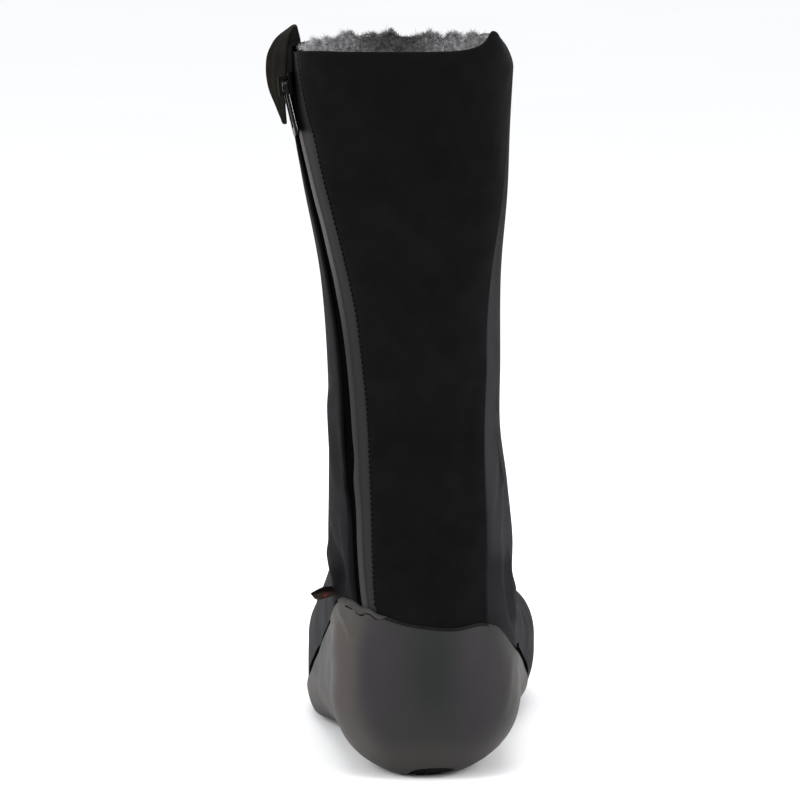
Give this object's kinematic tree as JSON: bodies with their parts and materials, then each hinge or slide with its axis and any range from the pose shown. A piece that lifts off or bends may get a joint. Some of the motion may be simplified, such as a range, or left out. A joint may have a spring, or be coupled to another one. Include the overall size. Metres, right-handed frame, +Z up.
{
  "type": "overshoe",
  "caption": "Tall soft winter cycling overshoe for the left foot, with a zip up the outer rear side, a heel cover, a thin sole with a cleat opening and a folded zip guard.",
  "frame": {"origin": "on the floor under the middle of the heel, on the sole's heel rest", "axes": "+Z up, +Y towards the toe, +X towards the inner (medial) side"},
  "size_m": [0.1162, 0.2892, 0.3128],
  "materials": {
    "softshell": "matt black softshell",
    "sole_fabric": "matt black coated fabric",
    "reflective": "dark grey reflective coating, satin",
    "zip_tape": "coated tape, satin",
    "zip_teeth": "moulded black",
    "slider_metal": "black paint",
    "tab_metal": "brushed",
    "guard_fabric": "matt olive black",
    "tag_weave": "woven, maroon"
  },
  "bodies": {
    "overshoe": {"upper": "softshell", "sole": "sole_fabric", "heel_cover": "reflective", "zip_tape_rear": "zip_tape", "zip_tape_front": "zip_tape", "zip_teeth": "zip_teeth", "zip_slider": "slider_metal", "zip_guard": "guard_fabric", "side_tag": "tag_weave"},
    "zip_pull": {"zip_pull_tab": "tab_metal"}
  },
  "joints": [
    {"name": "zip_pull_hinge", "type": "hinge", "parent": "overshoe", "child": "zip_pull", "pos_m": [-0.05878, -0.00471, 0.28891], "axis": [-0.1431, 0.9558, -0.2567], "range_deg": [0, 150]}
  ]
}
